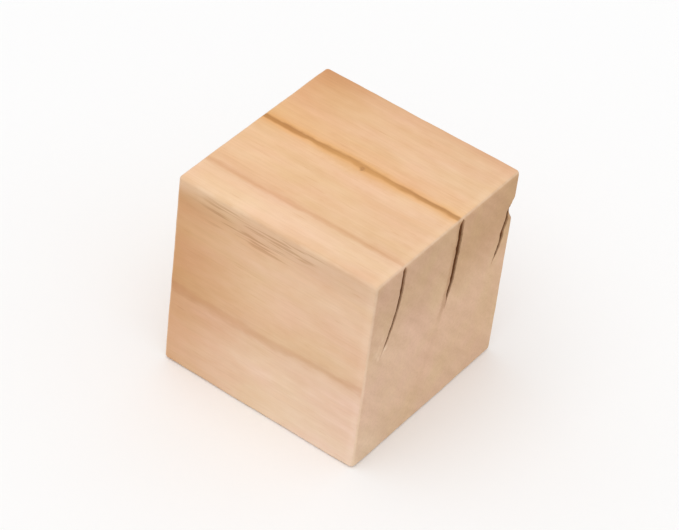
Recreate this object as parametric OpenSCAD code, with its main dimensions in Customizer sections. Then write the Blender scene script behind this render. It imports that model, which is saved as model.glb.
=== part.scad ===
// Wooden cube: one block of bare pine, sawn square, its edges and corners eased with sandpaper.
// The grain runs along X, so the faces at +X and -X are end grain and the other four are long grain.
// The growth rings bulge towards the back, and drying has opened checks along them in the end at +X.
// The origin is the centre of the face that the cube stands on, +Z is up, and sizes are millimetres.

/* [Cube] */
// Side of the cube, face to face
side = 25.4; // [18:0.1:50]
// Radius to which every edge and corner is sanded
edge_r = 0.6; // [0.3:0.05:1.5]

/* [Growth rings] */
// Distance from the top face down to the level of the heart of the tree, where the rings bulge furthest
heart_drop = 1.3; // [0:0.1:6]

/* [Front check] */
// Place of the front check along the top, back from the front face
front_check_at = 4.5; // [3.5:0.1:6]
// Radius of the growth ring that the front check follows
front_check_bend = 20; // [14:0.5:30]
// Depth below the top face of the front check's tip
front_check_tip = 9.4; // [5:0.1:11]
// Gap between the walls of the front check
front_check_gap = 0.45; // [0.15:0.05:0.7]
// Greatest depth of the front check into the end grain
front_check_depth = 2; // [1:0.1:4]

/* [Main check] */
// Place of the main check along the top, back from the front face
main_check_at = 14.5; // [12:0.1:16]
// Radius of the growth ring that the main check follows
main_check_bend = 53; // [25:1:80]
// Depth below the top face of the main check's tip
main_check_tip = 9.9; // [6:0.1:14]
// Gap between the walls of the main check
main_check_gap = 0.75; // [0.2:0.05:1]
// Greatest depth of the main check into the end grain
main_check_depth = 3.2; // [1:0.1:6]

/* [Back check] */
// Place of the back check, carried up to the top face, in from the back face
back_check_in = 1.1; // [0.6:0.1:2]
// Radius of the curve that the back check follows, splitting from ring to ring
back_check_bend = 25; // [18:0.5:40]
// Depth below the top face at which the back check begins
back_check_start = 4.6; // [2:0.1:5]
// Depth below the top face of the back check's tip
back_check_tip = 10.6; // [8:0.1:12]
// Gap between the walls of the back check
back_check_gap = 0.5; // [0.2:0.05:0.7]
// Greatest depth of the back check into the end grain
back_check_depth = 2.2; // [1:0.1:4]

/* [Lost chip] */
// Distance from the top face down to the middle of the chip lost from the back upright edge
chip_drop = 5.1; // [3:0.1:8]
// Height of the chip along the upright edge
chip_height = 3.2; // [2:0.1:5]
// How deep the chip bites into the upright edge
chip_bite = 0.45; // [0.2:0.05:1]

/* [Hidden] */
$fn = 96;
half = side / 2;
front_y = -half;
end_x = half;
heart_z = side - heart_drop;
// The roots of the front and main checks would run out of the end face this far above the top face
root_over = 0.5;
// Each root would run out of the end face this far below the tip, so the tip is blunt
root_under = 0.4;
// The chip is scooped across the upright edge at this angle, which leaves more of the end face standing
chip_turn = 38;
// Overshoot of the cutting shapes past the faces that they cut
over = 2;

// Three crossed slabs make the flat faces, a round bar lies along each edge and a ball sits in each corner
module eased_block() {
    core = side - 2 * edge_r;
    translate([0, 0, half]) {
        cube([side, core, core], center = true);
        cube([core, side, core], center = true);
        cube([core, core, side], center = true);
        for (turn = [[0, 0, 0], [90, 0, 0], [0, 90, 0]], a = [-1, 1], b = [-1, 1])
            rotate(turn) translate([a, b, 0] * core / 2) cylinder(r = edge_r, h = core, center = true);
        for (a = [-1, 1], b = [-1, 1], c = [-1, 1])
            translate([a, b, c] * core / 2) sphere(r = edge_r);
    }
}

// Outline of a check on the end face: the strip between a growth ring and a ring wider by the gap.
// The inner ring comes up through the top face at this distance from the front face.
module check_outline(at, bend, tip_down, gap) {
    heart_y = front_y + at - sqrt(pow(bend, 2) - pow(heart_drop, 2));
    intersection() {
        translate([heart_y, heart_z]) difference() {
            circle(r = bend + gap);
            circle(r = bend);
        }
        translate([front_y, side - tip_down]) square([side + over, tip_down + over]);
    }
}

// A check runs down a growth ring and goes in along the grain. Its root is an arc that leaves the
// end face at start, measured down from the top face, and just below the tip, as in a thumbnail crack.
module ring_check(at, bend, start, tip_down, gap, depth) {
    root_end = tip_down + root_under;
    root_half = (root_end - start) / 2;
    root_r = (pow(root_half, 2) + pow(depth, 2)) / (2 * depth);
    intersection() {
        translate([end_x - depth - over, 0, 0]) rotate([90, 0, 90])
            linear_extrude(height = depth + 2 * over) check_outline(at, bend, tip_down, gap);
        translate([end_x + root_r - depth, 0, side - root_end + root_half]) rotate([90, 0, 0])
            cylinder(r = root_r, h = side + 2 * over, center = true);
    }
}

// Scoop where a splinter has broken out of the back upright edge beside the back check
module lost_chip() {
    scoop_r = (pow(chip_height / 2, 2) + pow(chip_bite, 2)) / (2 * chip_bite);
    eased_off = edge_r * (sqrt(2) - 1);
    out = scoop_r - chip_bite - eased_off;
    translate([end_x, half, side - chip_drop]) rotate([0, 0, chip_turn]) translate([out, 0, 0])
        rotate([90, 0, 0]) cylinder(r = scoop_r, h = 4 * (chip_bite + edge_r), center = true);
}

module wooden_cube() {
    color("burlywood") difference() {
        eased_block();
        ring_check(front_check_at, front_check_bend, -root_over,
            front_check_tip, front_check_gap, front_check_depth);
        ring_check(main_check_at, main_check_bend, -root_over,
            main_check_tip, main_check_gap, main_check_depth);
        ring_check(side - back_check_in, back_check_bend, back_check_start,
            back_check_tip, back_check_gap, back_check_depth);
        lost_chip();
    }
}

wooden_cube();
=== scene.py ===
"""Wooden cube: a block of bare pine with eased edges, growth rings and drying checks, on a plain stage.

Lengths are metres. The grain runs along X, and the checks open in the end-grain face at +X.
"""

import itertools
import math
from collections import namedtuple

import bpy
import numpy as np
from bpy.props import FloatProperty, FloatVectorProperty, PointerProperty
from mathutils import Matrix, Vector


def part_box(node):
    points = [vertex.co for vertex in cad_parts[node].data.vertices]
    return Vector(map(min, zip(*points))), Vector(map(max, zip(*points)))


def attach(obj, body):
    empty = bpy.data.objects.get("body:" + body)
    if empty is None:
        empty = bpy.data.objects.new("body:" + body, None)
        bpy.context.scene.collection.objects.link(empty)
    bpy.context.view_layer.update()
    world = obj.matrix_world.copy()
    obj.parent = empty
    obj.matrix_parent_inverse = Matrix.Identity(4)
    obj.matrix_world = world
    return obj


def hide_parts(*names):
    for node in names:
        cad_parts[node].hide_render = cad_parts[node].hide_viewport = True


bl_info = {
    "name": "Wooden cube",
    "version": (1, 0, 0),
    "blender": (4, 5, 0),
    "location": "3D View > Sidebar > Wooden cube",
    "description": "A block of bare pine with eased edges, growth rings and drying checks",
    "category": "Object",
}

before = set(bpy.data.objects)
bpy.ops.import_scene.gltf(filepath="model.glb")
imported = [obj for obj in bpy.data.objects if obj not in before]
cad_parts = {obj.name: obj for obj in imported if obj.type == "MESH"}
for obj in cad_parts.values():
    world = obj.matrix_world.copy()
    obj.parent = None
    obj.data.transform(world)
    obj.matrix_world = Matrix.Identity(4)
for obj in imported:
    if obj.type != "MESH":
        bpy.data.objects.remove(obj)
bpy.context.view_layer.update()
LOW, HIGH = (np.array(corner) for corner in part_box("wooden_cube"))
SIDE = float(HIGH[2] - LOW[2])
HALF = SIDE / 2
MIDDLE = (LOW + HIGH) / 2
MM = 0.001


def length(name, default, description):
    """A length property, its default given in millimetres."""
    return FloatProperty(
        name=name, description=description, default=default * MM, min=0, unit="LENGTH", precision=5
    )


def number(name, default, description):
    """A property with no unit."""
    return FloatProperty(name=name, description=description, default=default)


def angle(name, default, description):
    """An angle property, its default given in degrees."""
    turn = math.radians(default)
    return FloatProperty(name=name, description=description, default=turn, subtype="ANGLE")


def colour(name, default, description):
    """A colour property, its default given as linear red, green and blue."""
    return FloatVectorProperty(
        name=name, description=description, default=default, size=3, min=0, max=1, subtype="COLOR"
    )


class BlockSettings(bpy.types.PropertyGroup):
    """The sanded block."""

    edge_radius: length("Edge radius", 0.42, "Radius to which the edges are sanded")
    edge_waver: number("Edge waver", 0.26, "How far the radius strays along an edge, as a share of it")
    corner_wear: number("Corner wear", 0.15, "How much rounder than the edges the corners are worn")
    knocked_corner: length("Knocked corner", 0.12, "Extra radius of the checked end's front bottom corner")
    grain_relief: length("Grain relief", 0.04, "How far the soft wood is sanded below the hard rings")
    end_texture: length("End texture", 0.02, "Depth of the saw and sanding texture on the end grain")


class GrowthSettings(bpy.types.PropertyGroup):
    """The growth rings, each known by how far back from the front face it comes up through the top."""

    heart_drop: length("Heart drop", 1.3, "From the top down to the heart of the tree, at the checked end")
    heart_dip: number("Heart dip", 0.02, "How fast the heart falls away from the checked end")
    heart_lean: number("Heart lean", 0.012, "How fast the heart moves out, away from the checked end")
    inner_ring: length("Inner ring", 4.75, "Place of the faint ring near the front")
    inner_bend: length("Inner bend", 20.3, "Radius of the faint ring near the front")
    middle_ring: length("Middle ring", 14.75, "Place of the dark ring across the middle of the top")
    middle_bend: length("Middle bend", 53, "Radius of the dark ring")
    outer_ring: length("Outer ring", 25.3, "Place of the ring along the back of the top")
    outer_bend: length("Outer bend", 60, "Radius of the ring along the back")
    wander: length("Wander", 0.13, "How far a growth ring wanders along the grain")
    knot_out: length("Knot place", 13.2, "From the plain end to the pin knot on the top face")
    knot_back: length("Knot distance", 13.9, "From the front face to the pin knot on the top face")
    knot_size: length("Knot size", 0.55, "Radius of the pin knot")


def check_fields(place, bend, start, opening, tip, gap, depth, ragged):
    """The properties of one check, with these defaults in millimetres."""
    return {
        "place": length("Place", place, "From the front face to its near wall, if carried up to the top"),
        "bend": length("Bend", bend, "Radius of the curve that it follows"),
        "start": length("Start", start, "Where its root leaves the end face, measured down from the top"),
        "opening": length("Opening", opening, "Run over which it opens from there"),
        "tip": length("Tip", tip, "How far down from the top face it ends"),
        "gap": length("Gap", gap, "Its width"),
        "depth": length("Depth", depth, "How far it goes into the end grain"),
        "ragged": length("Raggedness", ragged, "How far its walls stray from the curve"),
    }


class FrontCheckSettings(bpy.types.PropertyGroup):
    """The thin check nearest the front face."""

    __annotations__ = check_fields(
        place=4.5, bend=20, start=0.15, opening=0.4, tip=11.2, gap=0.57, depth=2.0, ragged=0.05
    )


class MainCheckSettings(bpy.types.PropertyGroup):
    """The wide check along the dark ring."""

    __annotations__ = check_fields(
        place=14.5, bend=53, start=0.2, opening=0.5, tip=11.8, gap=0.78, depth=3.2, ragged=0.08
    )


class BackCheckSettings(bpy.types.PropertyGroup):
    """The ragged check below the lost chip."""

    __annotations__ = check_fields(
        place=24.1, bend=25, start=4.0, opening=1.0, tip=11.3, gap=0.7, depth=2.2, ragged=0.2
    )


class ChipSettings(bpy.types.PropertyGroup):
    """The splinter lost from the back upright edge of the checked end."""

    drop: length("Drop", 5.1, "From the top face down to the middle of the chip")
    height: length("Height", 3.2, "Its height along the edge")
    bite: length("Bite", 0.45, "How deep it goes into the sanded edge")
    turn: angle("Turn", 28, "Way the chip faces, from the end grain towards the back")


class FinishSettings(bpy.types.PropertyGroup):
    """Colours of bare pine."""

    earlywood: colour("Earlywood", (0.850, 0.555, 0.335), "Pale wood between the rings")
    warm: colour("Warm wood", (0.690, 0.380, 0.205), "Wood where a year's growth slows down")
    latewood: colour("Latewood", (0.360, 0.165, 0.060), "Hard dark line that ends a year's growth")
    resin: colour("Resin", (0.840, 0.440, 0.150), "Resin-soaked wood beside the dark ring")
    end_grain: colour("End grain", (0.730, 0.494, 0.323), "Wood cut across its fibres")
    fresh: colour("Fresh wood", (0.920, 0.705, 0.515), "Wood freshly sanded or torn")
    # The chip's hollow, darkened partly by old dust and partly by painted shade
    dusty: colour("Dusty wood", (0.480, 0.265, 0.125), "Old break where a chip is lost")
    # Colour deep down a check: partly dust, partly painted shade in the hollow
    inside: colour("Inside of a check", (0.215, 0.078, 0.020), "Dusty wood deep inside a check")


class StageSettings(bpy.types.PropertyGroup):
    """Floor, light and camera."""

    floor: colour("Floor", (0.95, 0.95, 0.95), "Pale floor")
    azimuth: angle("Azimuth", 32, "Camera's turn from the front")
    elevation: angle("Elevation", 41, "Camera's height angle")
    roll: angle("Roll", 7.4, "Camera's tilt about its own view")
    distance: FloatProperty(
        name="Distance", description="Camera to the cube's middle", default=12.5 * SIDE, unit="LENGTH"
    )
    lens: number("Lens", 159, "Focal length in millimetres on a 36 mm sensor")
    sky: number("Sky", 0.78, "Strength of the even light all round")
    sun: number("Sun", 0.85, "Strength of the soft key light")
    sun_azimuth: angle("Sun azimuth", -5, "Key light's turn from the front")
    sun_elevation: angle("Sun elevation", 74, "Key light's height angle")
    sun_size: angle("Sun size", 60, "Width of the key light in the sky, which softens its shadow")


class WoodenCubeSettings(bpy.types.PropertyGroup):
    """Everything that can be set on the wooden cube and its stage."""

    block: PointerProperty(type=BlockSettings)
    growth: PointerProperty(type=GrowthSettings)
    front_check: PointerProperty(type=FrontCheckSettings)
    main_check: PointerProperty(type=MainCheckSettings)
    back_check: PointerProperty(type=BackCheckSettings)
    chip: PointerProperty(type=ChipSettings)
    finish: PointerProperty(type=FinishSettings)
    stage: PointerProperty(type=StageSettings)


# Spacing of the block's surface grid: across the faces, up the zone that has the checks, over the eased
# edges, and across a closed check
PITCH = 0.25 * MM
FINE_PITCH = 0.16 * MM
FINE_ZONE = 13 * MM
EDGE_ZONE = 0.74 * MM
EDGE_CELLS = 6
CLOSED_WIDTH = 0.3 * MM
# Space between the eased back edge and a check, while it is closed and once it is open
CLOSED_CLEARANCE = 0.1 * MM
OPEN_CLEARANCE = 0.02 * MM
# A point this close to a plane is on it
ROUNDING = 1e-9
# Width of a check where it has closed, the run over which its columns spread again past the tip, and the
# run back along the top over which they swing back to their places
HAIRLINE = 0.07 * MM
SPREAD_RUN = 1.2 * MM
RETURN_RUN = 4 * MM
# Each check has eight columns: how deep each one lies in the check, and its place from wall to wall
FOLD = np.array([0, 0.3, 0.65, 1, 1, 0.65, 0.3, 0])
ACROSS = np.array([0, 0.11, 0.24, 0.38, 0.62, 0.76, 0.89, 1])
# From its tip a check first widens slowly, up to a share of its width, and then fast. The places are
# shares of the way from its tip to its upper end.
SLOW_END, FAST_END, SLOW_WIDTH = 0.05, 0.21, 0.14
# How much wider than its set width a check is at its upper end, and narrower at its tip, and how far the
# width wavers, as shares of it
TAPER, GAP_WAVER = 0.2, 0.1
RAGGED_FROM = 3

# Halvings that find a point's ring, to a millionth of a millimetre
HALVINGS = 26
# The rings keep to their places at the checked end and wander further in. The faint ring wanders more
# than the others, in the wood that lies well below the heart.
STEADY_RUN = 3 * MM
FAINT_SWAY, FAINT_REACH, FAINT_DROP = 1.8, 5 * MM, 5 * MM

# How far from a corner its wear reaches, and how far the knock reaches
CORNER_REACH = 2.4 * MM
KNOCK_REACH = 3.5 * MM
# How far from its middle the chip may reach, in half heights, the height of its ridges, and how far the
# wood is moved where it counts as broken
CHIP_REACH = 1.6
RIDGE = 0.09 * MM
BROKEN_FROM = 0.12 * MM
# The torn wood's middle, above and beside the tip of the front check, its reach, how much taller than wide
# it is, and the noise at which a fleck is torn through
TORN_ABOVE, TORN_BESIDE, TORN_REACH = 1.0 * MM, 0.2 * MM, 1.9 * MM
TORN_STRETCH = (1, 1, 1.6)
FLECK_EDGE = 0.35

# Shares of a year: where its wood starts to harden, how long that takes, and where the next year's soft
# wood sets in
HARDENS, HARDENING, YEAR_END = 0.72, 0.24, 0.99
# Ways across and along the saw marks, which run at a slant over the end grain
ACROSS_MARKS, ALONG_MARKS = np.array([0, 0.77, 0.64]), np.array([0, -0.64, 0.77])
KNOT_DIP = 0.05 * MM
# How deep in a check the outside finish ends
INSIDE_FROM = 0.3 * MM
# Facing along X from which a point counts as end grain, and how much more of it makes it fully so
END_FACING, END_BLEND = 0.35, 0.5
# How far a point's facing strays from the nearest face where an edge counts as fully eased
EASED_FACING = 0.17
# Angle between faces from which their edge is shaded sharp
CREASE = math.radians(38)

# Noise on the block's shape: cell size in millimetres along X, Y and Z, and seed
CELLS = {
    "ring wander": ((8, 14, 14), 3),
    "fine ring wander": ((3.5, 9, 9), 4),
    "edge": ((3.4, 3.4, 3.4), 11),
    "fine edge": ((1.2, 1.2, 1.2), 12),
    "lip": ((0.9, 0.9, 0.9), 21),
    "fine lip": ((0.4, 0.4, 0.4), 22),
    "gap": ((0.7, 0.7, 0.7), 23),
    "chip ridges": ((2.5, 0.3, 0.35), 31),
    "chip grit": ((0.5, 0.5, 0.5), 32),
    "fibres": ((5, 0.5, 0.5), 41),
    "saw marks": ((3, 0.5, 5), 42),
    "sanding": ((0.5, 0.5, 0.5), 43),
    "flecks": ((0.8, 0.45, 0.9), 53),
}
# Large odd numbers that scramble a cell's place and seed into a random value
SCRAMBLE_X, SCRAMBLE_Y, SCRAMBLE_Z, SCRAMBLE_SEED = 73856093, 19349663, 83492791, 2654435761
SCRAMBLE_AGAIN = 1274126177


def smooth(t):
    """Smooth step: 3t^2 - 2t^3 between 0 and 1, flat outside."""
    t = np.clip(t, 0, 1)
    return t * t * (3 - 2 * t)


def noise(points, name):
    """Smooth noise from -1 to 1. Random values stand at the corners of cells, and each point takes their
    average, weighted by the smooth step along each axis."""
    cell, seed = CELLS[name]
    scaled = points / (np.array(cell) * MM)
    base = np.floor(scaled).astype(np.int64)
    near = smooth(scaled - base)
    total = np.zeros(len(points))
    for corner in itertools.product((0, 1), repeat=3):
        x, y, z = (base + corner).T
        mixed = (x * SCRAMBLE_X) ^ (y * SCRAMBLE_Y) ^ (z * SCRAMBLE_Z) ^ (seed * SCRAMBLE_SEED)
        mixed = ((mixed ^ (mixed >> 13)) * SCRAMBLE_AGAIN) & 0xFFFFFFFF
        value = ((mixed ^ (mixed >> 16)) & 0xFFFF) / 32767.5 - 1
        total += value * np.prod(np.where(corner, near, 1 - near), axis=1)
    return total


def ring_number(points, growth):
    """Number of growth rings, a whole number on each ring's outer edge. A ring that comes up through the top
    at place t is an arc of radius B(t) about a heart B(t) in front of it, where B runs straight between the
    known rings and falls to a distance in front of the block. A point that is s back from the front face and
    q below the heart lies on the ring with s + B - sqrt(B^2 - q^2) = t, which is found by halving. The heart
    leans a little from the grain, and slow noise is added away from the checked end."""
    inward = HALF - points[:, 0]
    back = points[:, 1] + HALF + growth.heart_lean * inward
    below = SIDE - growth.heart_drop - growth.heart_dip * inward - points[:, 2]
    near = growth.inner_bend - growth.inner_ring
    places = (0, growth.inner_ring, growth.middle_ring, growth.outer_ring)
    bends = (near, growth.inner_bend, growth.middle_bend, growth.outer_bend)
    low, high = np.zeros(len(points)), np.full(len(points), 2 * SIDE)
    for _ in range(HALVINGS):
        guess = (low + high) / 2
        bend = np.interp(guess, places, bends)
        farther = back + bend - np.sqrt(np.maximum(bend**2 - below**2, 0)) > guess
        low, high = np.where(farther, guess, low), np.where(farther, high, guess)
    wander = noise(points, "ring wander") + 0.5 * noise(points, "fine ring wander")
    near_faint = 1 - smooth(np.abs(low - growth.inner_ring) / FAINT_REACH)
    sway = 1 + FAINT_SWAY * near_faint * (below > FAINT_DROP)
    low += growth.wander * sway * wander * smooth(inward / STEADY_RUN)
    step = growth.middle_ring - growth.inner_ring
    rings = (growth.inner_ring - step, growth.inner_ring, growth.middle_ring, growth.outer_ring)
    return np.interp(low, rings + (growth.outer_ring + step,), range(5))


def check_y(check, down, growth):
    """Where the check's near wall stands on the end face, this far below the top: on an arc that bulges
    furthest back at the level of the heart."""
    drop = growth.heart_drop
    rise = math.sqrt(check.bend**2 - drop**2)
    return -HALF + check.place - rise + np.sqrt(check.bend**2 - (down - drop) ** 2)


def flat_place(check):
    """Where a check's columns lie while it is closed: at its place, but clear of the eased back edge."""
    return -HALF + min(check.place, SIDE - EDGE_ZONE - CLOSED_WIDTH - CLOSED_CLEARANCE)


def even(low, high, cells=None):
    """Knots from low up to, and without, high, in this many cells or at about the standard pitch."""
    cells = cells or max(1, round((high - low) / PITCH))
    return np.linspace(low, high, cells + 1)[:-1]


def plain_knots(low, high):
    """Knots across a face: close over the eased edge at each end and even between."""
    first, last = low + EDGE_ZONE, high - EDGE_ZONE
    near, far = even(low, first, EDGE_CELLS), even(last, high, EDGE_CELLS)
    return np.concatenate([near, even(first, last), far, [high]])


def upright_knots():
    first, change, last = EDGE_ZONE, SIDE - FINE_ZONE, SIDE - EDGE_ZONE
    fine = round((last - change) / FINE_PITCH)
    edge = even(0, first, EDGE_CELLS)
    return np.concatenate([edge, even(first, change), even(change, last, fine), last + edge, [SIDE]])


def checked_knots(checks):
    """Knots across the block along Y. Each check has a close group of columns, which will fold down one of
    its walls and up the other. Returns the knots, and for each one its check, or -1, and its place in its
    run."""
    runs = [(even(-HALF, -HALF + EDGE_ZONE, EDGE_CELLS), -1)]
    done = -HALF + EDGE_ZONE
    for index, check in enumerate(checks):
        left = flat_place(check)
        plain = even(done, left)
        if index:
            plain = np.linspace(done, left, len(plain) + 1)[1:-1]
        runs += [(plain, -1), (left + CLOSED_WIDTH * ACROSS, index)]
        done = left + CLOSED_WIDTH
    last = HALF - EDGE_ZONE
    plain = np.linspace(done, last, max(2, round((last - done) / PITCH) + 1))[1:]
    runs += [(plain, -1), (np.linspace(last, HALF, EDGE_CELLS + 1)[1:], -1)]
    group = np.concatenate([np.full(len(run), index) for run, index in runs])
    part = np.concatenate([np.arange(len(run)) for run, _ in runs])
    return np.concatenate([run for run, _ in runs]), group, part


def skin(counts):
    """The skin of a lattice with this many cells along each axis. Each of its six sheets is a grid in two
    parameters, and neighbours share the points along their edge. Returns the lattice place of each point,
    and the four-cornered faces, outer side out."""
    places = np.indices([n + 1 for n in counts])
    outer = np.zeros(places[0].shape, bool)
    for axis, count in enumerate(counts):
        outer |= (places[axis] == 0) | (places[axis] == count)
    index = np.full(outer.shape, -1)
    index[outer] = np.arange(outer.sum())
    faces = []
    for axis, count in enumerate(counts):
        for end in (0, count):
            sheet = np.take(index, end, axis=axis)
            quads = np.stack([sheet[:-1, :-1], sheet[1:, :-1], sheet[1:, 1:], sheet[:-1, 1:]], -1)
            quads = quads.reshape(-1, 4)
            faces.append(quads[:, ::-1] if (end == 0) != (axis == 1) else quads)
    return np.argwhere(outer), np.concatenate(faces)


def root_arc(check):
    """The root of a check is an arc of a circle that bulges into the block, through start and tip on the
    plane of the end face, and as deep as the check in between. Returns the circle's radius, its centre out
    from the middle of the block and down from the top, and the angles at the tip and at the start."""
    half = (check.tip - check.start) / 2
    radius = (half**2 + check.depth**2) / (2 * check.depth)
    centre_x = HALF + radius - check.depth
    first = math.atan2(half, HALF - centre_x)
    return radius, centre_x, check.tip - half, first, 2 * math.pi - first


def check_walls(check, way, rows, growth):
    """The two lips of a check, for each point's way down the end face, or back along the top face below 0.
    Its middle line runs beside the check's curve, and swings back to its place on the top and past the
    tip. The gap opens evenly about that line, is closed at the start and shuts to a hairline at the tip."""
    flat = flat_place(check)
    below = smooth((way - check.tip) / (SIDE - check.tip))
    above = smooth((check.start - way) / RETURN_RUN)
    share = (check.tip - way) / (check.tip - check.start)
    narrowing = SLOW_WIDTH * np.clip(share / SLOW_END, 0, 1)
    narrowing += (1 - SLOW_WIDTH) * smooth((share - SLOW_END) / (FAST_END - SLOW_END))
    closing = smooth((way - check.start) / check.opening)
    inside = ((way < check.tip) & (way > check.start)).astype(float)
    past = np.where(way > check.tip, way - check.tip, np.maximum(check.start - way, 0))
    spread = HAIRLINE + (CLOSED_WIDTH - HAIRLINE) * smooth(past / SPREAD_RUN)
    stray = noise(rows, "lip") + 0.5 * noise(rows, "fine lip")
    fade = narrowing * closing * inside
    gap = check.gap * fade * (1 + TAPER * (2 * share - 1) + GAP_WAVER * noise(rows, "gap"))
    curve = check_y(check, np.clip(way, check.start, check.tip), growth) + (check.gap - gap) / 2
    left = flat + (curve - flat) * (1 - below) * (1 - above)
    left += check.ragged * stray * np.minimum(fade * RAGGED_FROM, 1)
    width = np.maximum(gap, spread * (1 - inside) + HAIRLINE * inside)
    left = np.minimum(left, HALF - EDGE_ZONE - OPEN_CLEARANCE - width)
    return left, left + width


def slide_columns(sharp, checks, growth):
    """Moves the columns of the end face and the top sideways: each check's group onto its two lips, and the
    columns between, in a straight line, along with them. Returns the points, each one's way down the end
    face, or back along the top below 0, and whether it is on either face."""
    on_end = sharp[:, 0] > HALF - ROUNDING
    on_top = sharp[:, 2] > SIDE - ROUNDING
    way = np.where(on_end, SIDE - sharp[:, 2], sharp[:, 0] - HALF)
    rows = sharp * (1, 0, 1)
    flat = [-HALF + EDGE_ZONE]
    moved = [flat[0]]
    for check in checks:
        flat += [flat_place(check), flat_place(check) + CLOSED_WIDTH]
        moved += check_walls(check, way, rows + (0, check.place, 0), growth)
    flat.append(HALF - EDGE_ZONE)
    moved.append(flat[-1])
    y = sharp[:, 1].copy()
    for start in range(len(flat) - 1):
        held = (sharp[:, 1] >= flat[start] - ROUNDING) & (sharp[:, 1] <= flat[start + 1] + ROUNDING)
        t = (sharp[:, 1] - flat[start]) / (flat[start + 1] - flat[start])
        new = moved[start] + t * (moved[start + 1] - moved[start])
        y = np.where(held & (on_end | on_top), new, y)
    return np.stack([sharp[:, 0], y, sharp[:, 2]], 1), way, on_end | on_top


def sanded_radius(sharp, block):
    """Radius of the eased edge near each point: the set radius with slow noise, and more at the corners."""
    reach = np.abs(sharp - MIDDLE)
    corner = np.prod(smooth((reach - (HALF - CORNER_REACH)) / CORNER_REACH), axis=1)
    waver = 0.6 * noise(sharp, "edge") + 0.4 * noise(sharp, "fine edge")
    worn = block.corner_wear * corner * (1 + 0.6 * waver)
    radius = block.edge_radius * (1 + block.edge_waver * waver + worn)
    knocked = np.linalg.norm(sharp - (HALF, -HALF, 0), axis=1)
    return radius + block.knocked_corner * (1 - smooth(knocked / KNOCK_REACH))


def ease(sharp, radius):
    """Rounds the sharp block. Each point is pulled back to an inner block, smaller by the radius all round,
    and then stands off it by the radius. Returns the points and the ways that they face."""
    centred = sharp - MIDDLE
    limit = (HALF - radius)[:, None]
    inner = np.clip(centred, -limit, limit)
    away = centred - inner
    facing = away / np.linalg.norm(away, axis=1, keepdims=True)
    return MIDDLE + inner + facing * radius[:, None], facing


def fold_checks(points, way, group, part, checks, on_sheet):
    """Folds each check's columns into the block. A column stands on the straight line from its lip to the
    point of the root arc that is the same share of the way from tip to start. Returns how deep each point
    then lies."""
    deep = np.zeros(len(points))
    for index, check in enumerate(checks):
        radius, centre_x, centre_down, first, last = root_arc(check)
        mine = on_sheet & (group == index) & (way < check.tip) & (way > check.start)
        share = (check.tip - way[mine]) / (check.tip - check.start)
        turn = first + share * (last - first)
        root_x = centre_x + radius * np.cos(turn)
        root_z = SIDE - centre_down - radius * np.sin(turn)
        fold = FOLD[part[mine]]
        deep[mine] = fold * np.hypot(root_x - points[mine, 0], root_z - points[mine, 2])
        points[mine, 0] += fold * (root_x - points[mine, 0])
        points[mine, 2] += fold * (root_z - points[mine, 2])
    return deep


def lose_chip(points, chip, edge_radius):
    """Cuts the chip out of the upright edge. Along the chip's way the cut is as deep as the bite in the
    middle and runs out in an arc above and below, with ridges along the grain. Returns how far each point
    was moved, and how far it would have been without the ridges."""
    way = np.array([math.cos(chip.turn), math.sin(chip.turn), 0])
    corner = np.array([HALF, HALF, 0])
    out = (points - corner) @ way
    eased_off = edge_radius * (math.sqrt(2) - 1)
    up = (points[:, 2] - (SIDE - chip.drop)) / (chip.height / 2)
    ridges = noise(points, "chip ridges") + 0.6 * noise(points, "chip grit")
    plain = out + eased_off + chip.bite * (1 - up**2)
    near = np.abs(up) < CHIP_REACH
    over = np.where(near, np.maximum(plain - RIDGE * ridges, 0), 0)
    points -= over[:, None] * way
    return over, np.where(near, np.maximum(plain, 0), 0)


def torn_tip(points, settings):
    """How torn the end grain is beside the tip of the front check: flecks of lifted fibres."""
    check = settings.front_check
    down = check.tip - TORN_ABOVE
    tip = np.array([HALF, check_y(check, down, settings.growth) + TORN_BESIDE, SIDE - down])
    near = 1 - smooth(np.linalg.norm((points - tip) / TORN_STRETCH, axis=1) / TORN_REACH)
    return near * smooth(noise(points, "flecks") / FLECK_EDGE)


def weather(points, facing, rings, end_grain, open_face, settings):
    """Sinks the soft wood below the hard ring lines, roughens the end grain, and dips the pin knot. The soft
    wood lies deepest just outside a ring line and rises slowly to the next one."""
    block, growth = settings.block, settings.growth
    year = rings % 1
    soft = 1 - smooth((year - HARDENS) / HARDENING)
    soft = np.where(year > YEAR_END, smooth((year - YEAR_END) / (1 - YEAR_END)), soft)
    fibres = 0.5 + 0.5 * noise(points, "fibres")
    long_grain = block.grain_relief * (0.75 * soft + 0.25 * fibres)
    sawn = np.stack([points[:, 0], points @ ACROSS_MARKS, points @ ALONG_MARKS], 1)
    marks = 0.6 * noise(sawn, "saw marks") + 0.4 * noise(points, "sanding")
    end_cut = block.end_texture * (0.5 + 0.5 * marks)
    depth = (1 - end_grain) * long_grain + end_grain * end_cut
    knot = np.array([-HALF + growth.knot_out, -HALF + growth.knot_back, SIDE])
    depth += KNOT_DIP * (1 - smooth(np.linalg.norm(points - knot, axis=1) / growth.knot_size))
    points -= facing * (depth * open_face)[:, None]


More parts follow.
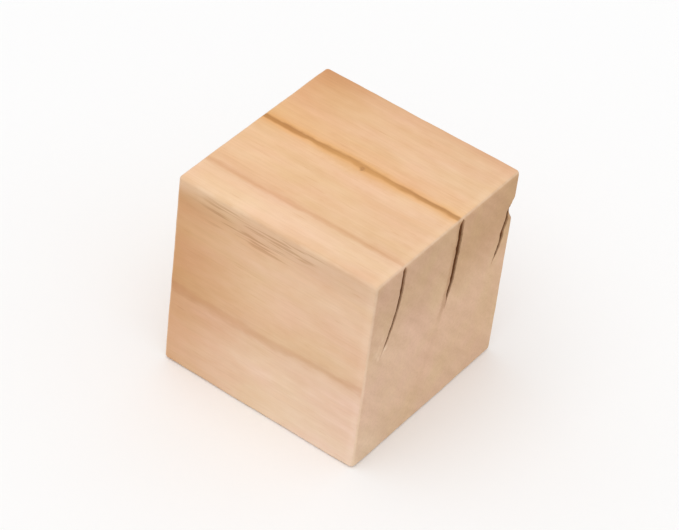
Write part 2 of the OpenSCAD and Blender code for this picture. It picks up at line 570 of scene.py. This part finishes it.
def block_surface(settings):
    """The whole surface of the block. A lattice's skin is laid on a sharp block, its columns slide onto the
    checks, the block is eased, the checks fold in, the chip is lost and the faces are weathered. Returns
    the points, the faces and the point attributes."""
    checks = (settings.front_check, settings.main_check, settings.back_check)
    knots_y, group, part = checked_knots(checks)
    knots = (plain_knots(-HALF, HALF), knots_y, upright_knots())
    places, faces = skin([len(k) - 1 for k in knots])
    sharp = np.stack([knots[axis][places[:, axis]] for axis in range(3)], 1)
    group, part = group[places[:, 1]], part[places[:, 1]]
    sharp, way, on_sheet = slide_columns(sharp, checks, settings.growth)
    points, facing = ease(sharp, sanded_radius(sharp, settings.block))
    deep = fold_checks(points, way, group, part, checks, on_sheet)
    moved, smoothed = lose_chip(points, settings.chip, settings.block.edge_radius)
    chipped = smooth((moved + smoothed) / BROKEN_FROM)
    open_face = 1 - smooth(deep / INSIDE_FROM)
    end_grain = smooth((np.abs(facing[:, 0]) - END_FACING) / END_BLEND) * open_face
    rings = ring_number(points, settings.growth)
    weather(points, facing, rings, end_grain, open_face * (1 - chipped), settings)
    attributes = {
        "ring_number": rings,
        "end_grain": end_grain,
        "eased_edge": smooth((1 - np.abs(facing).max(axis=1)) / EASED_FACING) * open_face,
        "check_depth": deep / MM,
        "torn": torn_tip(points, settings) * open_face,
        "chipped": chipped * open_face,
    }
    return points, faces, attributes


def make_piece(name, points, faces, attributes, material):
    """Puts a numpy surface into a mesh object, smooth but for its real edges."""
    mesh = bpy.data.meshes.new(name)
    mesh.from_pydata(points, [], faces.tolist())
    mesh.shade_smooth()
    mesh.set_sharp_from_angle(angle=CREASE)
    for attribute, values in attributes.items():
        layer = mesh.attributes.new(attribute, "FLOAT", "POINT")
        layer.data.foreach_set("value", values.astype(np.float32))
    mesh.materials.append(material)
    piece = bpy.data.objects.new(name, mesh)
    bpy.context.collection.objects.link(piece)
    return piece


class Nodes:
    """Short way to build the nodes of a material or a world."""

    def __init__(self, owner, shader="Principled BSDF"):
        owner.use_nodes = True
        self.owner = owner
        self.tree = owner.node_tree
        self.shader = self.tree.nodes[shader]

    def set(self, socket, value):
        """Links a socket to another, or sets its value."""
        if isinstance(value, bpy.types.NodeSocket):
            self.tree.links.new(value, socket)
        elif socket.type == "RGBA":
            socket.default_value = (*value, 1)
        else:
            socket.default_value = value

    def add(self, kind, inputs, output=0, **fields):
        """Adds a node, fills its inputs by name or number, and returns one of its outputs."""
        node = self.tree.nodes.new("ShaderNode" + kind)
        for field, value in fields.items():
            setattr(node, field, value)
        for key, value in inputs.items():
            self.set(node.inputs[key], value)
        return node.outputs[output]

    def calc(self, a, b, operation="ADD"):
        """Adds two values, or works them out another way."""
        return self.add("Math", {0: a, 1: b}, operation=operation)

    def ramp(self, value, low, high, from_value=0.0, to_value=1.0):
        """Maps low..high to from_value..to_value with a smooth step, flat outside."""
        inputs = {"Value": value, "From Min": low, "From Max": high, "To Min": from_value, "To Max": to_value}
        return self.add("MapRange", inputs, interpolation_type="SMOOTHSTEP")

    def attribute(self, name):
        """A point attribute of the piece."""
        return self.add("Attribute", {}, output="Fac", attribute_name=name)

    def noise(self, place, scale, detail=2.0, turn=0.0):
        """Noise on a place in millimetres. Scale gives the cells per millimetre along each axis."""
        stretched = self.add("Mapping", {"Vector": place, "Rotation": (turn, 0, 0)})
        stretched = self.add("VectorMath", {0: stretched, 1: scale}, operation="MULTIPLY")
        return self.add("TexNoise", {"Vector": stretched, "Scale": 1.0, "Detail": detail})

    def mix(self, factor, a, b, blend="MIX"):
        """Mixes two colours."""
        node = self.tree.nodes.new("ShaderNodeMix")
        node.data_type = "RGBA"
        node.blend_type = blend
        for socket, value in zip((node.inputs[0], node.inputs[6], node.inputs[7]), (factor, a, b)):
            self.set(socket, value)
        return node.outputs[2]


# Colour of the long grain by ring number: two colours, and where the wood holds which share of the second
RING_COLOURS = (
    ("earlywood", "warm", (
        (0.500, 0.00), (0.860, 0.02), (0.955, 0.16), (0.985, 0.62), (1.010, 0.62), (1.045, 0.24),
        (1.160, 0.08), (1.360, 0.02), (1.500, 0.00),
    )),
    ("earlywood", "resin", ((1.760, 0.03), (1.860, 0.16), (1.922, 0.60))),
    ("resin", "latewood", ((1.946, 0.52), (1.992, 0.68))),
    ("earlywood", "resin", ((2.014, 0.65), (2.062, 0.30), (2.120, 0.19), (2.220, 0.12))),
    ("earlywood", "warm", (
        (2.380, 0.08), (2.600, 0.14), (2.800, 0.26), (2.920, 0.48), (3.000, 0.60), (3.080, 0.40),
        (3.250, 0.12), (3.600, 0.05),
    )),
)
FIRST_RING, LAST_RING = 0.5, 4.0

# Point attributes of the piece that the pine's colours follow
ATTRIBUTES = ("ring_number", "end_grain", "eased_edge", "check_depth", "torn", "chipped")

# Noises in the pine: cells per millimetre along each axis, detail, and turn about the grain
MARKS_TURN = math.radians(47)
NOISES = {
    "ring noise": ((0.40, 1.1, 1.1), 3),
    "streak": ((0.07, 0.34, 0.34), 3),
    "mottle": ((0.45, 1.0, 1.0), 3),
    "fibre": ((0.16, 4.5, 4.5), 4),
    "canal": ((0.4, 7, 7), 1),
    "hue": ((0.12, 0.26, 0.26), 2),
    "scratch": ((0.17, 2.4, 2.4), 2),
    "patch": ((0.2, 0.22, 0.16), 2),
    "marks": ((0.3, 0.17, 0.9), 3, MARKS_TURN),
    "grit": ((3.2, 3.2, 3.2), 3),
    "pore": ((2.0, 7.5, 7.5), 2),
}

# Smooth ramps over the coordinates in millimetres, the ring number and the noises: what a ramp follows, the
# limits between which it changes, and its values there, if not 0 and 1. Most mark a part of the block.
# The values that are put together from several others are made with the wood that they colour.
RAMPS = {
    "ring waver": ("ring noise", 0.2, 0.8, -0.016, 0.016),
    "resin canals": ("canal", 0.68, 0.78, 0, 0.3),
    "pores": ("pore", 0.60, 0.72, 0, 0.22),
    "scratches": ("scratch", 0.54, 0.64, 0, 0.65),
    "patchy wear and highlight": ("mottle", 0.35, 0.65, 0.02, 0.16),
    "patchy dust and shade": ("fibre", 0.35, 0.6, 0.35, 0.95),
    # Darkening down into a check: partly dust, partly painted shade
    "in a check": ("check_depth", 0, 0.3, 0, 0.97),
    "top face": ("height", 24.98, 25.34),
    "rim": ("height", 24.5, 25.2),
    "clear of the rim": ("height", 24.6, 25.1, 1, 0),
    "under the top": ("height", 22.5, 25.3, 1, 0),
    "brow": ("height", 21.4, 23.6),
    "scratched height": ("height", 21.0, 22.2),
    "upper end": ("mottled height", 14, 23),
    "main check height": ("height", 13, 20),
    "trail height": ("height", 11.6, 14.2, 0, 0.35),
    "lower half": ("streaked height", 10, 15, 1, 0),
    "low": ("height", 0, 10, 1, 0),
    "foot": ("height", 0, 9, 1, 0),
    "foot of the end": ("height", 0, 7, 1, 0),
    "front face": ("back", -12.6, -12.1, 1, 0),
    "front of the end": ("back", -12.7, -5, 1, 0),
    "rear": ("back", -3, 7),
    "behind the main check": ("back", 0, 4),
    "towards the back": ("back", 0, 12.5, 0, 0.6),
    "plain half": ("along", -15, 3, 1, 0),
    "near the plain end": ("along", -12.7, -3, 1, 0),
    "clear of the plain end": ("along", -11, -7),
    "checked half": ("along", -9, 12),
    "checked end": ("along", -5, 5),
    "faint trail": ("along", -5, 5, 0.22, 0),
    "clear of the checked end": ("along", 4, 8, 1, 0),
    "beside the checked end": ("along", 11.3, 12.2),
    "nearing the faint ring": ("rings", 0.45, 0.98),
    "inside the faint ring": ("rings", 0.93, 1.0, 1, 0),
    "up to the faint ring": ("rings", 0.99, 1.05, 1, 0),
    "from the dark ring": ("rings", 1.90, 1.96),
    "up to the dark ring": ("rings", 1.98, 2.04, 1, 0),
}

# A shade runs evenly from one tint to another while a value runs from low to high. A tint lies where all of
# its parts meet. Each of them multiplies the wood's colour, in the order of these tables.
Shade = namedtuple("Shade", "value low high first last")
Tint = namedtuple("Tint", "tint parts")
LONG_GRAIN = (
    # Broad streaks along the grain and finer mottling, the darker parts the redder
    Shade("streak", 0.30, 0.70, (0.955, 0.920, 0.870), (1.025, 1.040, 1.075)),
    Shade("mottle", 0.32, 0.68, (0.980, 0.960, 0.930), (1.012, 1.022, 1.035)),
    Shade("fibre", 0.30, 0.70, (0.960, 0.945, 0.925), (1.020, 1.022, 1.025)),
    Tint((0.80, 0.66, 0.52), ("resin canals",)),
    Shade("hue", 0.35, 0.65, (1.005, 0.975, 0.995), (0.990, 1.005, 0.965)),
    # Inside the faint ring the top is paler, and the sides darken down to it and are palest low down
    Tint((1.03, 1.07, 1.14), ("top face", "inside the faint ring")),
    Tint((1.0, 1.05, 1.15), ("sides",)),
    Tint((0.955, 0.925, 0.87), ("sides", "nearing the faint ring", "up to the faint ring")),
    Tint((1.05, 1.11, 1.23), ("lower half",)),
    # The plain end is warmer and darker, most of all below the top and towards the back, partly by painted
    # shade
    Tint((0.78, 0.63, 0.47), ("plain half", "low or far back")),
    # The far corner of the top is yellower and a little darker, partly the wood's colour, partly painted
    # shade
    Tint((0.970, 0.915, 0.820), ("near the plain end", "rear", "top face")),
    # The checked end is greyer, the foot of the front face paler and its brow darker. The paler foot is
    # partly painted light, bounced up from the floor
    Tint((0.972, 0.982, 1.015), ("checked half",)),
    Tint((1.0, 1.035, 1.045), ("foot", "front face")),
    Tint((0.92, 0.91, 0.89), ("brow", "front face")),
    # Paler beside the edges of the checked end: partly wear, partly a painted highlight
    Tint((1.035, 1.060, 1.090), ("beside the checked end",)),
    # A few brown streaks close below the front top edge
    Tint((0.70, 0.60, 0.50), ("scratched area", "scratches")),
)
END_GRAIN = (
    # Darker at the top and behind the main check, and paler at the foot, most of all in front. The paler foot
    # is partly painted light, bounced up from the floor
    Tint((0.86, 0.82, 0.76), ("upper end",)),
    Shade("back", -11, 11, (1.005, 1.010, 1.080), (0.975, 0.965, 0.925)),
    Tint((1.01, 1.03, 1.05), ("foot of the end",)),
    Tint((1.02, 1.07, 1.08), ("low", "front of the end")),
    Tint((0.96, 0.93, 0.88), ("main check height", "behind the main check")),
    # Patches, sanding strokes that run down across it at a slant, and grit
    Shade("patch", 0.35, 0.65, (1.005, 0.968, 0.990), (0.990, 1.000, 0.930)),
    Shade("marks", 0.30, 0.70, (0.940, 0.922, 0.900), (1.045, 1.055, 1.068)),
    Shade("grit", 0.30, 0.70, (0.965, 0.960, 0.950), (1.025, 1.030, 1.030)),
)
# Paler band along the top edge of the end grain: partly wear, partly a painted highlight
END_RIM_WEAR_AND_HIGHLIGHT = Tint((1.06, 1.07, 1.08), ("rim",))
PORES = Tint((0.62, 0.50, 0.40), ("end_grain", "pores"))

# How far the height wavers with the streaks and with the mottling, in millimetres
STREAK_HEIGHT, MOTTLE_HEIGHT = 4.0, 3.0
# Share of the long grain's colour that shows on the end grain
RINGS_ON_END = 0.05
# Wear of an eased edge on the end grain, partly a painted highlight, and paleness of torn wood
END_WEAR_AND_HIGHLIGHT, TORN_PALENESS = 0.28, 0.6
# Limits of the fibre noise for the roughness, the roughness there, and the share of grit in the bump
ROUGH_FROM, ROUGH_TO, SMOOTHEST, ROUGHEST = 0.3, 0.7, 0.62, 0.78
BUMP_GRIT = 0.5
# Stain around the pin knot: its stretch along the grain, limits, strength and share of latewood
STAIN_STRETCH = (0.2, 1, 1)
STAIN_FROM, STAIN_TO, STAIN_STRENGTH, STAIN_DARKNESS = 0.3, 1.7, 0.45, 0.3
# The pin knot is darkest up to a share of its radius
KNOT_CORE, KNOT_STRENGTH = 0.25, 0.62
# The noise that bends its outline: cells per millimetre, and its average
KNOT_NOISE, NOISE_AVERAGE = 2.0, 0.5


class PineNodes(Nodes):
    """Nodes of bare pine. Each value that the colours follow has a name, and is made when first needed."""

    def __init__(self, owner):
        super().__init__(owner)
        place = self.add("TexCoord", {}, output="Object")
        self.place = self.add("VectorMath", {0: place, "Scale": 1 / MM}, operation="SCALE")
        self.values = {
            name: self.add("SeparateXYZ", {0: self.place}, output=axis)
            for name, axis in (("height", "Z"), ("along", "X"), ("back", "Y"))
        }

    def value(self, name):
        """A coordinate in millimetres, a point attribute, a noise or a ramp, by name."""
        if name not in self.values:
            if name in ATTRIBUTES:
                made = self.attribute(name)
            elif name in NOISES:
                made = self.noise(self.place, *NOISES[name])
            else:
                follows, *limits = RAMPS[name]
                made = self.ramp(self.value(follows), *limits)
            self.values[name] = made
        return self.values[name]

    def product(self, *names):
        """The product of these values."""
        made = self.value(names[0])
        for name in names[1:]:
            made = self.calc(made, self.value(name), "MULTIPLY")
        return made

    def layer(self, wood, layer):
        """Multiplies the wood's colour by a shade or a tint."""
        if isinstance(layer, Tint):
            return self.mix(self.product(*layer.parts), wood, layer.tint, "MULTIPLY")
        limits = {"Value": self.value(layer.value), "From Min": layer.low, "From Max": layer.high}
        tint = self.mix(self.add("MapRange", limits), layer.first, layer.last)
        return self.mix(1.0, wood, tint, "MULTIPLY")


def between(a, b, amount):
    """The colour this share of the way from a to b."""
    return tuple(x + (y - x) * amount for x, y in zip(a, b))


def ring_colours(nodes, rings, finish):
    """Looks the ring number up in the table of ring colours."""
    share = nodes.add("MapRange", {"Value": rings, "From Min": FIRST_RING, "From Max": LAST_RING})
    colours = nodes.add("ValToRGB", {"Fac": share})
    ramp = colours.node.color_ramp
    stops = [(first, second, *stop) for first, second, group in RING_COLOURS for stop in group]
    for index, (first, second, place, amount) in enumerate(stops):
        position = (place - FIRST_RING) / (LAST_RING - FIRST_RING)
        stop = ramp.elements[index] if index < 2 else ramp.elements.new(position)
        stop.position = position
        stop.color = (*between(getattr(finish, first), getattr(finish, second), amount), 1)
    return colours


def long_grain_wood(nodes, finish):
    """Colour of the long grain: by ring number, wavered by fine noise, then shaded and tinted."""
    rings = nodes.calc(nodes.value("ring_number"), nodes.value("ring waver"))
    raised = nodes.calc(nodes.value("streak"), STREAK_HEIGHT, "MULTIPLY")
    nodes.values["rings"] = rings
    nodes.values["streaked height"] = nodes.calc(nodes.value("height"), raised)
    nodes.values["sides"] = nodes.calc(1.0, nodes.value("top face"), "SUBTRACT")
    under, behind = nodes.value("under the top"), nodes.value("towards the back")
    nodes.values["low or far back"] = nodes.calc(under, behind, "MAXIMUM")
    upright = nodes.product("scratched height", "clear of the rim")
    sideways = nodes.product("front face", "clear of the checked end", "clear of the plain end")
    nodes.values["scratched area"] = nodes.calc(upright, sideways, "MULTIPLY")
    wood = ring_colours(nodes, rings, finish)
    for layer in LONG_GRAIN:
        wood = nodes.layer(wood, layer)
    return wood


def end_grain_wood(nodes, finish, wood):
    """Colour of the end grain. The rings barely show, but for a trail of the dark ring."""
    raised = nodes.calc(nodes.value("mottle"), MOTTLE_HEIGHT, "MULTIPLY")
    nodes.values["mottled height"] = nodes.calc(nodes.value("height"), raised)
    end = nodes.mix(RINGS_ON_END, finish.end_grain, wood)
    for layer in END_GRAIN:
        end = nodes.layer(end, layer)
    trail = nodes.calc(nodes.product("checked end", "trail height"), nodes.value("faint trail"))
    trail = nodes.calc(nodes.product("from the dark ring", "up to the dark ring"), trail, "MULTIPLY")
    end = nodes.mix(trail, end, finish.latewood)
    # A paler band along the top edge: partly wear, partly a painted highlight
    return nodes.layer(end, END_RIM_WEAR_AND_HIGHLIGHT)


def pin_knot(nodes, finish, growth, wood):
    """The pin knot on the top face, in a stain that is drawn out along the grain. Noise bends both."""
    bend = nodes.add("TexNoise", {"Vector": nodes.place, "Scale": KNOT_NOISE}, output="Color")
    bent = nodes.add("VectorMath", {0: nodes.place, 1: bend})
    knot = ((growth.knot_out - HALF) / MM, (growth.knot_back - HALF) / MM, SIDE / MM)
    middle = tuple(k + NOISE_AVERAGE for k in knot)
    reach = nodes.add("VectorMath", {0: bent, 1: middle}, output="Value", operation="DISTANCE")
    drawn = nodes.add("VectorMath", {0: bent, 1: STAIN_STRETCH}, operation="MULTIPLY")
    middle = tuple(m * s for m, s in zip(middle, STAIN_STRETCH))
    stain = nodes.add("VectorMath", {0: drawn, 1: middle}, output="Value", operation="DISTANCE")
    stain = nodes.ramp(stain, STAIN_FROM, STAIN_TO, STAIN_STRENGTH, 0)
    wood = nodes.mix(stain, wood, between(finish.resin, finish.latewood, STAIN_DARKNESS))
    size = growth.knot_size / MM
    dark = nodes.ramp(reach, KNOT_CORE * size, size, KNOT_STRENGTH, 0)
    return nodes.mix(dark, wood, finish.latewood)


def bare_pine(settings):
    """Bare pine. Long grain takes its colour from the ring number and has fibre streaks and resin canals
    along X. End grain is greyer, with sanding marks across it and pores. Eased edges are lighter, partly by
    wear and partly by a painted highlight; checks darken with depth, partly by dust and partly by painted
    shade; torn wood is pale; and the chip's hollow is darkened, partly by old dust and partly by painted
    shade."""
    finish = settings.finish
    nodes = PineNodes(bpy.data.materials.new("bare_pine"))
    wood = long_grain_wood(nodes, finish)
    wood = nodes.mix(nodes.value("end_grain"), wood, end_grain_wood(nodes, finish, wood))
    wood = nodes.layer(wood, PORES)
    wood = pin_knot(nodes, finish, settings.growth, wood)

    # Eased edges are paled: partly wear, partly a painted highlight
    worn = nodes.calc(nodes.value("end_grain"), END_WEAR_AND_HIGHLIGHT, "MULTIPLY")
    worn = nodes.calc(nodes.value("patchy wear and highlight"), worn)
    wood = nodes.mix(nodes.calc(nodes.value("eased_edge"), worn, "MULTIPLY"), wood, finish.fresh)
    torn = nodes.calc(nodes.value("torn"), TORN_PALENESS, "MULTIPLY")
    wood = nodes.mix(torn, wood, finish.fresh)
    # The chip's hollow darkens: partly old dust, partly painted shade
    wood = nodes.mix(nodes.product("chipped", "patchy dust and shade"), wood, finish.dusty)
    # Checks darken with depth: partly dust, partly painted shade in the hollow
    wood = nodes.mix(nodes.value("in a check"), wood, finish.inside)

    fibre = nodes.value("fibre")
    limits = {"From Min": ROUGH_FROM, "From Max": ROUGH_TO, "To Min": SMOOTHEST, "To Max": ROUGHEST}
    rough = nodes.add("MapRange", {"Value": fibre, **limits})
    grit = nodes.calc(nodes.value("grit"), BUMP_GRIT, "MULTIPLY")
    relief = nodes.mix(nodes.value("end_grain"), fibre, nodes.calc(nodes.value("marks"), grit))
    bump = nodes.add("Bump", {"Strength": 0.35, "Distance": 0.04 * MM, "Height": relief})
    nodes.set(nodes.shader.inputs["Base Color"], wood)
    nodes.set(nodes.shader.inputs["Roughness"], rough)
    nodes.set(nodes.shader.inputs["Normal"], bump)
    nodes.shader.inputs["Specular IOR Level"].default_value = 0.3
    return nodes.owner


def floor_paper(colour_value):
    """Pale seamless paper, faintly mottled."""
    nodes = Nodes(bpy.data.materials.new("floor_paper"))
    place = nodes.add("TexCoord", {}, output="Object")
    mottle = nodes.add("TexNoise", {"Vector": place, "Scale": 40.0, "Detail": 3.0})
    tone = nodes.add("MapRange", {"Value": mottle, "To Min": 0.995, "To Max": 1.0})
    nodes.set(nodes.shader.inputs["Base Color"], nodes.mix(1.0, colour_value, tone, "MULTIPLY"))
    nodes.shader.inputs["Roughness"].default_value = 0.9
    nodes.shader.inputs["Specular IOR Level"].default_value = 0.1
    return nodes.owner


# How far the floor runs out from the block, in sides
FLOOR_REACH = 40


def view_way(azimuth, elevation):
    """The way from the object to a viewer or a lamp at this azimuth from the front and this elevation."""
    flat = math.cos(elevation)
    return Vector((math.sin(azimuth) * flat, -math.cos(azimuth) * flat, math.sin(elevation)))


def facing_matrix(way, roll=0.0):
    """Turns an object so that its own -Z looks back along the way, its Y is up, and it is then rolled."""
    return (-way).to_track_quat("-Z", "Y").to_matrix().to_4x4() @ Matrix.Rotation(roll, 4, "Z")


class AddPineBlock(bpy.types.Operator):
    """Adds the block of bare pine, in place of the plain solid"""

    bl_idname = "object.add_pine_block"
    bl_label = "Pine block"

    def execute(self, context):
        settings = context.scene.wooden_cube
        points, faces, attributes = block_surface(settings)
        piece = make_piece("pine_block", points, faces, attributes, bare_pine(settings))
        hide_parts("wooden_cube")
        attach(piece, "root")
        return {"FINISHED"}


class AddStage(bpy.types.Operator):
    """Adds the pale floor, the soft light and the camera"""

    bl_idname = "object.add_cube_stage"
    bl_label = "Stage"

    def execute(self, context):
        scene, stage = context.scene, context.scene.wooden_cube.stage
        reach = FLOOR_REACH * SIDE
        corners = [(-reach, -reach, 0), (reach, -reach, 0), (reach, reach, 0), (-reach, reach, 0)]
        mesh = bpy.data.meshes.new("floor")
        mesh.from_pydata(corners, [], [(0, 1, 2, 3)])
        mesh.materials.append(floor_paper(stage.floor))
        floor = bpy.data.objects.new("floor", mesh)
        scene.collection.objects.link(floor)

        lamp = bpy.data.lights.new("key", "SUN")
        lamp.energy = stage.sun
        lamp.angle = stage.sun_size
        key = bpy.data.objects.new("key", lamp)
        key.matrix_world = facing_matrix(view_way(stage.sun_azimuth, stage.sun_elevation))
        scene.collection.objects.link(key)

        # The sky is white where it is seen, and as strong as set where it lights
        scene.world = scene.world or bpy.data.worlds.new("studio")
        sky = Nodes(scene.world, "Background")
        seen = sky.add("LightPath", {}, output="Is Camera Ray")
        seen = sky.calc(seen, seen.node.outputs["Is Glossy Ray"], "MAXIMUM")
        strength = sky.add("MapRange", {"Value": seen, "To Min": stage.sky})
        sky.set(sky.shader.inputs["Color"], (1, 1, 1))
        sky.set(sky.shader.inputs["Strength"], strength)

        camera = bpy.data.objects.new("camera", bpy.data.cameras.new("camera"))
        camera.data.lens = stage.lens
        way = view_way(stage.azimuth, stage.elevation)
        spot = Matrix.Translation(Vector(MIDDLE) + way * stage.distance)
        camera.matrix_world = spot @ facing_matrix(way, stage.roll)
        scene.collection.objects.link(camera)
        scene.camera = camera
        scene.view_settings.view_transform = "Standard"
        return {"FINISHED"}


class WoodenCubePanel(bpy.types.Panel):
    """Lists the settings and the pieces"""

    bl_idname = "VIEW3D_PT_wooden_cube"
    bl_label = "Wooden cube"
    bl_space_type = "VIEW_3D"
    bl_region_type = "UI"
    bl_category = "Wooden cube"

    def draw(self, context):
        settings = context.scene.wooden_cube
        for name in settings.__annotations__:
            group = getattr(settings, name)
            box = self.layout.box()
            box.label(text=name.replace("_", " ").capitalize())
            for field in group.__annotations__:
                box.prop(group, field)
        for operator in (AddPineBlock, AddStage):
            self.layout.operator(operator.bl_idname)


CLASSES = (
    BlockSettings,
    GrowthSettings,
    FrontCheckSettings,
    MainCheckSettings,
    BackCheckSettings,
    ChipSettings,
    FinishSettings,
    StageSettings,
    WoodenCubeSettings,
    AddPineBlock,
    AddStage,
    WoodenCubePanel,
)


def register():
    for item in CLASSES:
        bpy.utils.register_class(item)
    bpy.types.Scene.wooden_cube = PointerProperty(type=WoodenCubeSettings)


def unregister():
    del bpy.types.Scene.wooden_cube
    for item in reversed(CLASSES):
        bpy.utils.unregister_class(item)


def main():
    """Builds everything."""
    register()
    bpy.ops.object.add_pine_block()
    bpy.ops.object.add_cube_stage()


if __name__ == "__main__":
    main()
